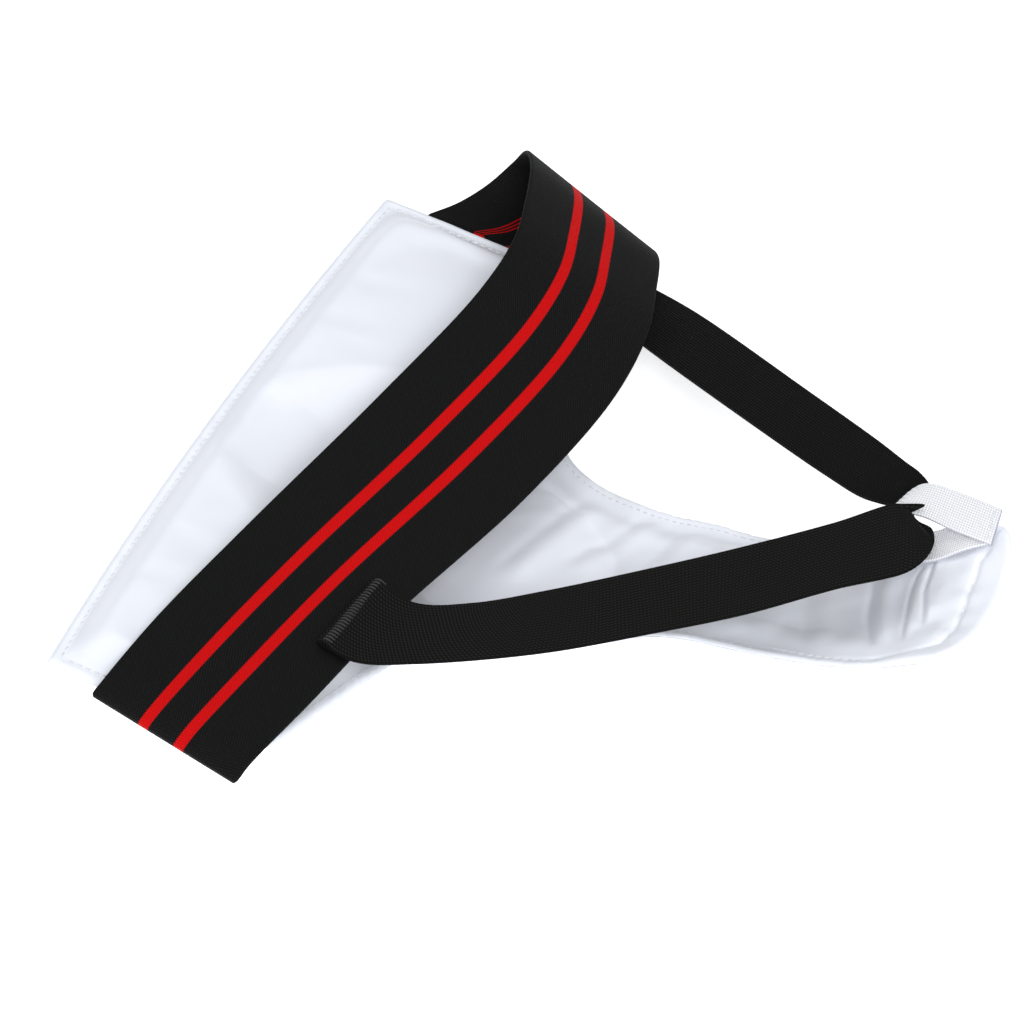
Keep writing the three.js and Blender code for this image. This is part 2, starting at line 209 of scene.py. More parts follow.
def band_elastic():
    n = Nodes("waistband_elastic", 0.75, Specular_IOR_Level=0.12)
    across, along, inner = n.strip_mm()
    twill = n.wave(n.math("ADD", across, n.math("MULTIPLY", along, 0.55)), 1.05)
    cross = n.wave(n.math("SUBTRACT", along, n.math("MULTIPLY", across, 0.2)), 1.3)
    weave = n.math("MULTIPLY", twill, cross)
    coords = n.add("ShaderNodeCombineXYZ")
    n.link(across, coords.inputs[0])
    n.link(along, coords.inputs[1])
    speckle = n.noise(1.6, 3, coords.outputs[0], 0.7)
    level = n.math("ADD", n.math("MULTIPLY", weave, 0.5), n.math("MULTIPLY", speckle, 0.6))
    black = n.ramp(level, [(0.35, (0.0022, 0.0022, 0.0024)), (0.62, (0.0055, 0.0055, 0.006)),
                           (0.85, (0.024, 0.0245, 0.0245))])
    red = n.ramp(level, [(0.3, (0.48, 0.0005, 0.001)), (0.7, (0.72, 0.001, 0.002))])
    wobble = n.math("MULTIPLY", n.math("SUBTRACT", cross, 0.5), 0.35)
    stripe = None
    for centre in STRIPES:
        off = n.math("ABSOLUTE", n.math("SUBTRACT", n.math("ADD", across, wobble), centre))
        solid = n.math("LESS_THAN", off, STRIPE_WIDTH / 2)
        fine = n.math("LESS_THAN", n.math("PINGPONG", off, INNER_LINE_GAP), INNER_LINE_HALF)
        thin = n.math("MULTIPLY", solid, fine)
        here = n.math("ADD", n.math("MULTIPLY", solid, n.math("SUBTRACT", 1.0, inner)),
                      n.math("MULTIPLY", thin, inner))
        stripe = here if stripe is None else n.math("MAXIMUM", stripe, here)
    n.color(n.mix(stripe, black, red))
    n.add_bump(weave, 0.55, 0.00022)
    n.add_bump(speckle, 0.35, 0.00025)
    return n.material


def strap_elastic():
    n = Nodes("strap_elastic", 0.8, Specular_IOR_Level=0.12)
    across, along, inner = n.strip_mm()
    rib = n.wave(across, 1 / RIB_PITCH)
    slant = n.wave(n.math("ADD", along, n.math("MULTIPLY", across, 0.8)), 0.85)
    weave = n.math("ADD", n.math("MULTIPLY", rib, 0.6), n.math("MULTIPLY", slant, 0.5))
    n.color(n.ramp(weave, [(0.2, (0.0012, 0.0011, 0.001)), (0.6, (0.0036, 0.0034, 0.0032)),
                           (1.0, (0.015, 0.0145, 0.014))]))
    n.add_bump(slant, 0.6, 0.0002)
    return n.material


def webbing():
    n = Nodes("white_webbing", 0.6, Sheen_Weight=0.15)
    across, along, inner = n.strip_mm()
    a = n.math("ABSOLUTE", n.math("SINE", n.math("MULTIPLY", across, np.pi * 2 / WEB_PITCH)))
    b = n.math("ABSOLUTE", n.math("SINE", n.math("MULTIPLY", along, np.pi * 2 / WEB_PITCH)))
    cells = n.math("MULTIPLY", n.math("POWER", a, 0.6), n.math("POWER", b, 0.6))
    # The ramp paints the gaps between weave cells dark blue-grey. This is partly the weave's own
    # open gaps and partly painted shade in them.
    n.color(n.ramp(cells, [(0.0, (0.42, 0.43, 0.54)), (0.3, (0.88, 0.885, 0.93)),
                           (0.7, (0.97, 0.972, 0.985))]))
    n.add_bump(cells, 0.7, 0.0003)
    n.add_bump(n.noise(2500, 2), 0.3, 0.0002)
    return n.material


def plastic():
    n = Nodes("cup_plastic", 0.38)
    n.color(n.ramp(n.noise(40, 3), [(0.3, (0.62, 0.63, 0.6)), (0.7, (0.7, 0.71, 0.68))]))
    n.add_bump(n.noise(500, 3), 0.1, 0.0004)
    return n.material


def foam():
    n = Nodes("foam", 0.95)
    cells = n.add("ShaderNodeTexVoronoi")
    cells.inputs["Scale"].default_value = 900
    n.link(n.add("ShaderNodeTexCoord").outputs["Object"], cells.inputs["Vector"])
    n.color(n.ramp(cells.outputs["Distance"], [(0.1, (0.36, 0.37, 0.39)),
                                               (0.7, (0.5, 0.51, 0.53))]))
    n.add_bump(cells.outputs["Distance"], 0.5, 0.0006)
    return n.material


BAND_WIDTH = 60.0
STRIPES = (0.363 * BAND_WIDTH, 0.608 * BAND_WIDTH)
STRIPE_WIDTH = 4.0
INNER_LINE_GAP, INNER_LINE_HALF = 0.75, 0.28    # a stripe shows as thin lines on the inner face
RIB_PITCH, RIB_RELIEF = 1.25, 0.10
WEB_PITCH, WEB_RELIEF = 1.9, 0.08
WHITE = satin()
THREAD = thread_white("white_thread", (0.80, 0.81, 0.85))
GREY_THREAD = thread_white("grey_thread", (0.010, 0.010, 0.0104))
BAND = band_elastic()
STRAP = strap_elastic()
WEB = webbing()


# ---- meshes --------------------------------------------------------------------------------
def make(name, vertices, faces, material, attribute=None):
    mesh = bpy.data.meshes.new(name)
    mesh.from_pydata((np.asarray(vertices) * MM).tolist(), [], faces)
    if attribute is not None:
        layer = mesh.attributes.new("strip_mm", "FLOAT_VECTOR", "CORNER")
        layer.data.foreach_set("vector", np.asarray(attribute, np.float32).ravel())
    mesh.materials.append(material)
    mesh.shade_smooth()
    obj = bpy.data.objects.new(name, mesh)
    scene.collection.objects.link(obj)
    return obj


def smoothstep(value, low, high):
    t = np.clip((value - low) / (high - low), 0, 1)
    return t * t * (3 - 2 * t)


def profile(*stations):
    """Smooth interpolation through (position, value) stations that never overshoots them."""
    x, y = np.array(sorted(stations), float).T
    slope = np.diff(y) / np.diff(x)
    product, total = slope[:-1] * slope[1:], slope[:-1] + slope[1:]
    inner = np.where(product > 0, 2 * product / np.where(total == 0, 1, total), 0)
    tangent = np.concatenate([slope[:1], inner, slope[-1:]])

    def at(q):
        q = np.clip(q, x[0], x[-1])
        i = np.clip(np.searchsorted(x, q, "right") - 1, 0, len(x) - 2)
        h = x[i + 1] - x[i]
        t = (q - x[i]) / h
        ease = t * t * (3 - 2 * t)
        bow = t * (1 - t) * ((1 - t) * tangent[i] - t * tangent[i + 1]) * h
        return y[i] * (1 - ease) + y[i + 1] * ease + bow
    return at


# The pouch's outline and surfaces, as the CAD frame lays them out. Only the crotch end is rounder.
WAIST_Y, WAIST_BOW, CROTCH_Y, FOLD_Y = 112, 6, -162, -91
EDGE_THICK = 4.3
BOWL_DEPTH, BOWL_MIDDLE_Y, BOWL_HALF_WIDTH, BOWL_HALF_LENGTH = 24, 18, 56, 88
HALF_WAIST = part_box("back_lining")[1][0] / MM
half_width = profile(
    (112, 125.5), (109, HALF_WAIST), (60, 126.3), (38, 125.2), (35, 122.5), (28, 100), (21, 76),
    (12, 54.5), (-4, 43), (-24, 36), (-43, 31), (-72, 26.5), (-100, 26.5), (-128, 29.5),
    (-147, 31), (-152, 30), (-156, 27.4), (-159, 22.4), (-161, 15), (-162, 3))
spine = profile(
    (112, 28), (80, 22.5), (50, 17), (30, 13.5), (10, 11.5), (-5, 12), (-24, 13.5), (-43, 15),
    (-72, 17.5), (-100, 22), (-127, 31.5), (-150, 46.9), (-162, 53.4))
flare = profile(
    (112, .00015), (60, .0003), (35, .0005), (10, .0006), (-5, .0019), (-24, .0037), (-43, .0052),
    (-72, .0096), (-100, .0086), (-127, .0075), (-150, .0075), (-162, .007))
tilt = profile((-128, 0), (-150, 0.1))
padding = profile((-60, 7.2), (-95, 2.8))


def front_height(x, y):
    r2 = (x / BOWL_HALF_WIDTH) ** 2 + ((y - BOWL_MIDDLE_Y) / BOWL_HALF_LENGTH) ** 2
    bowl = BOWL_DEPTH * np.clip(1 - r2, 0, 1) ** 1.5
    return np.maximum(0, spine(y) + flare(y) * x * x + tilt(y) * x - bowl)


def outline_points():
    """The closed outline, right side from the crotch end up, in flat coordinates."""
    ys = np.concatenate([
        np.arange(CROTCH_Y, -150, 0.12), np.arange(-150, 8, 1.0), np.arange(8, 41, 0.25),
        np.arange(41, WAIST_Y + .1, 1.0)])
    right = np.column_stack([half_width(ys), ys])
    top = np.column_stack([np.linspace(125.5, -125.5, 210)[1:-1], np.full(208, WAIST_Y)])
    left = right[::-1] * (-1, 1)
    bottom = np.column_stack([np.linspace(-3, 3, 7)[1:-1], np.full(5, CROTCH_Y)])
    return np.concatenate([right, top, left, bottom])


OUTLINE = outline_points()
OUTLINE_NEXT = np.roll(OUTLINE, -1, axis=0)
OUTLINE_RUN = np.cumsum(np.linalg.norm(OUTLINE_NEXT - OUTLINE, axis=1))
OUTLINE_RUN = np.concatenate([[0], OUTLINE_RUN[:-1]])


def nearest_edge(points):
    """(distance, nearest point, position along the outline) for flat points."""
    step = OUTLINE_NEXT - OUTLINE
    length2 = (step ** 2).sum(1)
    out = []
    for chunk in np.array_split(points, max(1, len(points) // 1500)):
        t = ((chunk[:, None] - OUTLINE) * step).sum(2) / length2
        t = np.clip(t, 0, 1)
        near = OUTLINE + t[..., None] * step
        d2 = ((chunk[:, None] - near) ** 2).sum(2)
        i = d2.argmin(1)
        row = np.arange(len(chunk))
        run = OUTLINE_RUN[i] + t[row, i] * np.sqrt(length2[i])
        out.append(np.column_stack([np.sqrt(d2[row, i]), near[row, i], run]))
    out = np.concatenate(out)
    return out[:, 0], out[:, 1:3], out[:, 3]


GRID_STEP, FINE_STEP = ((1.25, 0.75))
FINE_HALF, FINE_TOP = 33.0, -104.0    # the tail, which has fine folds and so fine cells
RELAX_ROUNDS = 8
PANEL_THICK = 1.2


def grid_lines(low, high, step, fine_low, fine_high, fine):
    """Positions from low to high, a step apart, or fine between fine_low and fine_high."""
    out = [low]
    while out[-1] < high:
        out.append(out[-1] + (fine if fine_low <= out[-1] < fine_high else step))
    return np.array(out)


def panel_grid(step, fine):
    """A mesh of the flat outline in cells, cut to the outline: points, faces, rim loop. The cells
    are fine in the tail."""
    right = grid_lines(0, 129, step, 0, FINE_HALF, fine)
    xs = np.concatenate([-right[:0:-1], right])
    ys = WAIST_Y - grid_lines(0, WAIST_Y - CROTCH_Y + 1, step, WAIST_Y - FINE_TOP, 400, fine)
    gx, gy = np.meshgrid(xs, ys)
    reach = 0.5 * np.minimum(np.gradient(xs)[None, :], -np.gradient(ys)[:, None]).ravel()
    points = np.column_stack([gx.ravel(), gy.ravel()])
    inside = (np.abs(points[:, 0]) <= half_width(points[:, 1])) & (points[:, 1] >= CROTCH_Y)
    inside &= points[:, 1] <= WAIST_Y
    distance, near, _ = nearest_edge(points)
    snap = distance < reach
    points[snap] = near[snap]
    valid = (inside | snap).reshape(gx.shape)
    ids = np.arange(len(points)).reshape(gx.shape)
    faces = []
    for r in range(valid.shape[0] - 1):
        for c in range(valid.shape[1] - 1):
            corners = [ids[r + 1, c], ids[r + 1, c + 1], ids[r, c + 1], ids[r, c]]
            ok = [valid[r + 1, c], valid[r + 1, c + 1], valid[r, c + 1], valid[r, c]]
            if sum(ok) >= 3:
                faces.append([int(v) for v, good in zip(corners, ok) if good])
    used = np.unique(np.concatenate([np.array(f) for f in faces]))
    remap = np.full(len(points), -1)
    remap[used] = np.arange(len(used))
    faces = [[int(remap[v]) for v in f] for f in faces]
    points = points[used]
    edges = [(a, b) for f in faces for a, b in zip(f, f[1:] + f[:1])]
    known = set(edges)
    border = {a: b for a, b in edges if (b, a) not in known}
    start = next(iter(border))
    loop = [start]
    while border[loop[-1]] != start:
        loop.append(border[loop[-1]])
    assert len(loop) == len(border), "the rim isn't one loop"
    points[loop] = nearest_edge(points[loop])[1]
    relax(points, faces, loop, 2.5 * step)
    return points, faces, loop


def relax(points, faces, loop, reach):
    """Evens out the thin cells that cutting leaves along the edge, in place."""
    came = points[loop] - points[np.roll(loop, 1)]
    goes = points[np.roll(loop, -1)] - points[loop]
    turn = (came * goes).sum(1)
    turn /= np.linalg.norm(came, axis=1) * np.linalg.norm(goes, axis=1)
    free = np.array(loop)[turn > 0.8]    # not the corners
    inner = np.setdiff1d(np.flatnonzero(nearest_edge(points)[0] < reach), loop)
    sides = np.array([(f[k], f[k - 1]) for f in faces for k in range(len(f))])
    sides = np.unique(np.sort(sides, axis=1), axis=0)
    count = np.bincount(sides.ravel(), minlength=len(points))[:, None]
    for _ in range(RELAX_ROUNDS):
        around = points.copy()
        around[loop] = (points[np.roll(loop, 1)] + points[np.roll(loop, -1)]) / 2
        points[free] = nearest_edge((points[free] + around[free]) / 2)[1]
        total = np.zeros_like(points)
        np.add.at(total, sides[:, 0], points[sides[:, 1]])
        np.add.at(total, sides[:, 1], points[sides[:, 0]])
        points[inner] = (points[inner] + (total / count)[inner]) / 2


# Folds of the lining: (points, width on the head's side, width on the other side, height). Flat
# coordinates, from the wearer's right to the left.
FOLDS = [
    ([(24, -135), (21.5, -136.6), (13.8, -136.7), (6.7, -137.4), (-4.4, -141.2), (-12, -143.5)],
     1.0, 6.5, 2.7),
    ([(24, -131), (18.7, -133.3), (13.2, -132.1), (5.9, -133.1), (-0.8, -134.9), (-14.2, -138),
      (-19, -140)], 1.1, 3.6, 2.5),
    ([(22, -119), (13.6, -120.8), (7.2, -122.3), (-1.6, -124.9), (-13, -130), (-20, -133)],
     2.6, 3.6, 2.3),
    ([(20, -99), (8.9, -102), (-2, -105.5), (-10.4, -109.4), (-18, -114)], 4.0, 4.5, 1.1),
    ([(20, -84), (6, -86), (-8, -90), (-18, -95)], 4.5, 5.0, 0.8),
    ([(-16, 2), (3.4, -2.8), (21.4, -7.7), (36.4, -14.7)], 4.0, 5.0, 1.0),
    ([(-4, -17), (9.4, -22), (19.8, -32), (34, -36)], 3.6, 4.5, 0.9),
    ([(-14, -38), (2, -43), (14, -50), (26, -54)], 4.0, 4.5, 0.8),
    ([(-12, -60), (4, -64), (22, -70)], 4.0, 5.0, 0.7),
]


def along_path(points, path):
    """(distance, signed distance, position along it) of flat points from a path."""
    path = np.array(path, float)
    best = np.full(len(points), np.inf)
    signed, where = np.zeros(len(points)), np.zeros(len(points))
    run = 0.0
    for a, b in zip(path[:-1], path[1:]):
        step = b - a
        length = np.linalg.norm(step)
        t = np.clip(((points - a) @ step) / length ** 2, 0, 1)
        off = points - (a + t[:, None] * step)
        d = np.linalg.norm(off, axis=1)
        closer = d < best
        best = np.where(closer, d, best)
        side = step[0] * off[:, 1] - step[1] * off[:, 0]
        signed = np.where(closer, np.sign(side) * d, signed)
        where = np.where(closer, run + t * length, where)
        run += length
    return best, signed, where / run


def ridge(points, path, head_width, crotch_width, height):
    """Height of a soft fold along a path, steep on one side, fading at its ends."""
    _, signed, where = along_path(points, path)
    if path[0][0] > path[-1][0]:
        signed = -signed
    width = np.where(signed > 0, head_width, crotch_width)
    fade = smoothstep(np.minimum(where, 1 - where), 0, 0.22)
    crest = np.exp(-(signed / width) ** 2)
    crease = np.exp(-((signed / head_width - 1.7) / 0.6) ** 2)
    return height * (crest - 0.5 * crease) * fade


# The seam that closes the crotch end, from the left leg edge round to the webbing loop.
CROTCH_SEAM = [
    (-22.3, -95), (-23.4, -108), (-24.9, -120), (-25.8, -129), (-24.9, -137), (-24.3, -145),
    (-21.5, -151), (-15, -152.8), (-6.3, -152.5), (4.3, -151.4), (10.4, -151.3),
    (15.4, -150.6), (19, -151.6), (22.8, -152.3)]
SEAM_INSET, LEG_SEAM_INSET = 4.0, 2.4
STITCH_PITCH = 3.1
CORNER_SOFTNESS = 0.25    # per mm: how softly the padding turns at the two waist corners
_swell = None             # set once the simulation has run


def bilinear(field, origin, step, points):
    """Values at points of a field on a square grid."""
    q = (points - origin) / step
    i = np.clip(np.floor(q).astype(int), 0, np.array(field.shape[::-1]) - 2)
    u, v = np.clip(q - i, 0, 1).T
    column, row = i.T
    low = field[row, column] * (1 - u) + field[row, column + 1] * u
    high = field[row + 1, column] * (1 - u) + field[row + 1, column + 1] * u
    return low * (1 - v) + high * v


def seam_inset(y):
    """Distance of the topstitching from the edge, smaller along the legs."""
    return LEG_SEAM_INSET + (SEAM_INSET - LEG_SEAM_INSET) * smoothstep(y, 33, 41)


def surfaces(points, detail=True):
    """Heights of the back lining's and the front cover's outside at flat points."""
    x, y = points.T
    d, _, run = nearest_edge(points)
    low = front_height(x, y)
    leg = smoothstep(-y, -41, -33)
    end = smoothstep(-y, 126, 140)
    beside, below = half_width(y) - np.abs(x), WAIST_Y - y
    both = np.exp(-CORNER_SOFTNESS * beside) + np.exp(-CORNER_SOFTNESS * below)
    rounded = -np.log(both) / CORNER_SOFTNESS
    pad = np.where(y > 45, np.minimum(d, rounded), d)
    back = low + EDGE_THICK + padding(y) * smoothstep(pad, 3.0, 15.0)
    back += 0.4 * np.exp(-((pad - 10) / 4.0) ** 2) * (1 - end)
    turned = 1.9 * (1 - np.sqrt(1 - np.clip(1 - d / 2.2, 0, 1) ** 2))
    front = low + turned
    back = back - turned
    if not detail:
        return back, front
    inset = seam_inset(y)
    groove = np.exp(-((d - inset) / 1.1) ** 2) * (0.55 - 0.2 * leg + 0.16 * np.cos(
        2 * np.pi * run / STITCH_PITCH)) * (1 - end)
    pucker = np.sin(run / 2.3 + 2 * np.sin(run / 11)) * np.exp(-((d - inset) / 3.5) ** 2)
    back += (0.13 - 0.05 * leg) * pucker * (1 - end) - groove
    front += 0.8 * groove - 0.1 * pucker
    from_seam, side, where = along_path(points, CROTCH_SEAM)
    near = smoothstep(-y, 112, 128) * smoothstep(1 - where, 0.0, 0.06)
    outside = smoothstep(-side, -0.4, 0.6)
    across = np.clip(d / np.maximum(d + from_seam, 0.5), 0, 1)
    back += 1.1 * end * outside * np.sin(np.pi * across) ** 0.8
    back -= 1.0 * near * np.exp(-(from_seam / 0.75) ** 2)
    gather = np.sin(48 * where + 2.5 * np.sin(9 * where))
    back += 0.28 * end * gather * np.exp(-(from_seam / 5.0) ** 2)
    for path, head_width, crotch_width, height in FOLDS:
        back += ridge(points, path, head_width, crotch_width, height) * smoothstep(d, 2, 7)
    if _swell is not None:
        field, origin, step = _swell
        back += bilinear(field, origin, step, points) * smoothstep(d, 5, 12)
    return back, front


def on_pouch(points, z):
    bow = WAIST_BOW * (1 - (points[:, 0] / HALF_WAIST) ** 2) * smoothstep(points[:, 1], 50, WAIST_Y)
    return np.column_stack([points[:, 0], points[:, 1] + bow, z])


RISE_CAP = 5.0
SIMULATION_STEP = 3.0
SIMULATION_FRAMES = 20
SIMULATION_SHARE = 0.35    # of the simulated swell is kept: the photo's lining is fairly smooth


def inflate(step):
    """Cloth simulation of the padded pouch under pressure. Gives how much its lining rises."""
    points, faces, loop = panel_grid(step, step)
    back, front = surfaces(points, detail=False)
    count = len(points)
    low = np.minimum(front, back - 1.0)
    vertices = np.concatenate([on_pouch(points, back), on_pouch(points, low)])
    sides = [[a + count, b + count, b, a] for a, b in zip(loop, loop[1:] + loop[:1])]
    under = [[v + count for v in reversed(f)] for f in faces]
    obj = make("inflating", vertices, faces + under + sides, WHITE)
    d = nearest_edge(points)[0]
    group = obj.vertex_groups.new(name="held")
    free = smoothstep(d, 5, 13)
    for i in range(2 * count):
        weight = 1.0 if i >= count else float(1 - free[i])
        group.add([i], weight, "REPLACE")
    cloth = obj.modifiers.new("cloth", "CLOTH")
    settings = cloth.settings
    settings.quality = 6
    settings.mass = 0.15
    settings.tension_stiffness = settings.compression_stiffness = 12
    settings.shear_stiffness = 6
    settings.bending_stiffness = 0.15
    settings.vertex_group_mass = "held"
    settings.use_pressure = True
    settings.uniform_pressure_force = 4
    settings.shrink_min = -0.035
    settings.effector_weights.gravity = 0
    cloth.collision_settings.use_collision = False
    for number in range(1, SIMULATION_FRAMES + 1):
        scene.frame_set(number)
    graph = bpy.context.evaluated_depsgraph_get()
    result = obj.evaluated_get(graph).to_mesh()
    moved = np.empty(len(result.vertices) * 3)
    result.vertices.foreach_get("co", moved)
    rise = moved.reshape(-1, 3)[:count, 2] / MM - vertices[:count, 2]
    rise = np.clip(rise, -RISE_CAP, RISE_CAP)
    bpy.data.objects.remove(obj)
    scene.frame_set(1)
    origin = np.array([-130.0, CROTCH_Y - 4.0])
    shape = (int(284 / step) + 1, int(260 / step) + 1)
    field = np.zeros(shape)
    weight = np.zeros(shape)
    cell = np.rint((points - origin) / step).astype(int)
    np.add.at(field, (cell[:, 1], cell[:, 0]), rise)
    np.add.at(weight, (cell[:, 1], cell[:, 0]), 1)
    field = field / np.maximum(weight, 1)
    return field, origin, step


# ---- pouch: two padded fabric panels joined along their edges ------------------------------
def smoothed(field, rounds):
    """A field averaged with its neighbours."""
    for _ in range(rounds):
        field = (field * 2 + np.roll(field, 1, 0) + np.roll(field, -1, 0) + np.roll(field, 1, 1)
                 + np.roll(field, -1, 1)) / 6
    return field


raised, corner, pitch = inflate(SIMULATION_STEP)
_swell = (smoothed(raised, 1) * SIMULATION_SHARE, corner, pitch)


def panel(name, points, faces, loop, outer, inner, up):
    """A closed fabric panel between its outer and inner surface."""
    count = len(points)
    vertices = np.concatenate([on_pouch(points, outer), on_pouch(points, inner)])
    inside = [[v + count for v in reversed(f)] for f in faces]
    sides = [[a + count, b + count, b, a] for a, b in zip(loop, loop[1:] + loop[:1])]
    all_faces = faces + inside + sides
    if not up:
        all_faces = [f[::-1] for f in all_faces]
    return make(name, vertices, all_faces, WHITE)


grid_points, grid_faces, rim = panel_grid(GRID_STEP, FINE_STEP)
back_z, front_z = surfaces(grid_points)
middle = (back_z + front_z) / 2
back_panel = panel("back_panel", grid_points, grid_faces, rim, back_z,
                   np.maximum(back_z - PANEL_THICK, middle + 0.05), True)
front_panel = panel("front_panel", grid_points, grid_faces, rim, front_z,
                    np.minimum(front_z + PANEL_THICK, middle - 0.05), False)
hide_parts("back_lining", "tail_lining")
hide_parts("front_cover", "tail_cover")
for piece, slot in ((back_panel, "lining_fabric"), (front_panel, "cover_fabric")):
    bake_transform(piece)


# ---- stitches ------------------------------------------------------------------------------
def stitches(name, path, lift, pitch, length, radius, material):
    """Separate stitches along a path of points with up vectors. Each dips in at its ends."""
    centre, up = path
    run = np.concatenate([[0], np.cumsum(np.linalg.norm(np.diff(centre, axis=0), axis=1))])
    count = max(1, int(run[-1] // pitch))
    at = (np.arange(count) + 0.5) * run[-1] / count
    sides, rings = 6, np.linspace(-1, 1, 7)
    vertices, faces = [], []

    def sample(s):
        return (np.array([np.interp(s, run, centre[:, k]) for k in range(3)]).T,
                np.array([np.interp(s, run, up[:, k]) for k in range(3)]).T)
    for s in at:
        base = len(vertices)
        p, u = sample(s)
        ahead, _ = sample(min(s + 0.3, run[-1]))
        behind, _ = sample(max(s - 0.3, 0))
        along = ahead - behind
        along /= np.linalg.norm(along)
        side = np.cross(u, along)
        side /= np.linalg.norm(side)
        u = np.cross(along, side)
        for t in rings:
            c, _ = sample(np.clip(s + t * length / 2, 0, run[-1]))
            r = radius * max(0.35, (1 - t ** 6)) ** 0.5
            c = c + u * (lift + radius * (0.75 - 1.5 * t * t))
            for k in range(sides):
                angle = 2 * np.pi * k / sides
                vertices.append(c + r * (np.cos(angle) * side + np.sin(angle) * u))
        for ring in range(len(rings) - 1):
            for k in range(sides):
                a, b = base + ring * sides + k, base + ring * sides + (k + 1) % sides
                faces.append([a, a + sides, b + sides, b])
        faces.append([base + k for k in range(sides)])
        faces.append([base + (len(rings) - 1) * sides + k for k in reversed(range(sides))])
    return make(name, vertices, faces, material)


def on_back(points):
    """A path on the lining with its up vectors."""
    points = np.array(points, float)
    z = surfaces(points)[0]
    e = 0.6
    zx = surfaces(points + (e, 0))[0] - z
    zy = surfaces(points + (0, e))[0] - z
    up = np.column_stack([-zx / e, -zy / e, np.ones(len(z))])
    return on_pouch(points, z), up / np.linalg.norm(up, axis=1)[:, None]


def offset_path(distance):
    """The outline moved inwards, as points in order."""
    edge = OUTLINE_NEXT - OUTLINE
    edge = edge / np.linalg.norm(edge, axis=1)[:, None]
    normal = np.column_stack([-edge[:, 1], edge[:, 0]])
    normal = (normal + np.roll(normal, 1, axis=0)) / 2
    moved = OUTLINE + normal / np.linalg.norm(normal, axis=1)[:, None] * distance
    keep = nearest_edge(moved)[0] > distance - 0.08
    return moved[keep]


SEAM = offset_path(SEAM_INSET)
LEG_SEAM = offset_path(LEG_SEAM_INSET)


def part(seam, chosen, order):
    points = seam[chosen]
    return points[np.argsort(order(points))]


def leg_order(points):
    return -points[:, 1] - 0.3 * np.abs(points[:, 0])


STITCH = dict(lift=0.0, pitch=STITCH_PITCH, length=2.3, radius=0.34, material=THREAD)
FINE = dict(STITCH, radius=0.2, lift=-0.05)
rows = {
    "waist_edge_stitches": (
        part(SEAM, SEAM[:, 1] > 107.5, lambda p: p[:, 0]), ["waist_edge_stitch"]),
    "crotch_seam_stitches": (np.array(CROTCH_SEAM, float), ["crotch_seam_stitch"]),
}
for side, sign in (("right", 1), ("left", -1)):
    edge = SEAM * (sign, 1)
    rows["side_edge_stitches_" + side] = (
        part(SEAM, (edge[:, 1] < 107) & (edge[:, 1] > 42) & (edge[:, 0] > 117),
             lambda p: p[:, 1]), ["side_edge_stitch_" + side])
    edge = LEG_SEAM * (sign, 1)
    rows["leg_edge_stitches_" + side] = (
        part(LEG_SEAM, (edge[:, 0] > 0) & (edge[:, 1] < 35) & (edge[:, 1] > FOLD_Y), leg_order),
        ["leg_edge_stitch_" + side])
    ys = np.linspace(44, 90, 30)
    rows["waistband_seam_stitches_" + side] = (
        np.column_stack([sign * (half_width(ys) - 8), ys]), ["waistband_seam_stitch_" + side])
for name, (points, nodes) in rows.items():
    piece = stitches(name, on_back(points), **(FINE if name[:3] in ("leg", "cro") else STITCH))
    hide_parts(*nodes)
    if name.startswith("crotch"):
        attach(piece, "tail")
    elif name.startswith("leg"):
        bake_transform(piece)
    else:
        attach(piece, "pouch")


# ---- woven strips --------------------------------------------------------------------------
SPLINE_STEPS = 40


def spline(points):
    """Centripetal Catmull-Rom curve through points."""
    p = np.array(points, float)
    p = np.concatenate([[2 * p[0] - p[1]], p, [2 * p[-1] - p[-2]]])
    gap = np.linalg.norm(np.diff(p, axis=0), axis=1) ** 0.5
    w = (np.arange(SPLINE_STEPS) / SPLINE_STEPS)[:, None]
    out = []
    for i in range(1, len(p) - 2):
        d0, d1, d2 = gap[i - 1], gap[i], gap[i + 1]
        z, a, b, c = p[i - 1:i + 3]
        t1 = ((a - z) / d0 - (b - z) / (d0 + d1) + (b - a) / d1) * d1
        t2 = ((b - a) / d1 - (c - a) / (d1 + d2) + (c - b) / d2) * d1
        square, cube = 3 * (b - a) - 2 * t1 - t2, 2 * (a - b) + t1 + t2
        out.append(a + t1 * w + square * w ** 2 + cube * w ** 3)
    out.append(p[-2:-1])
    return np.concatenate(out)


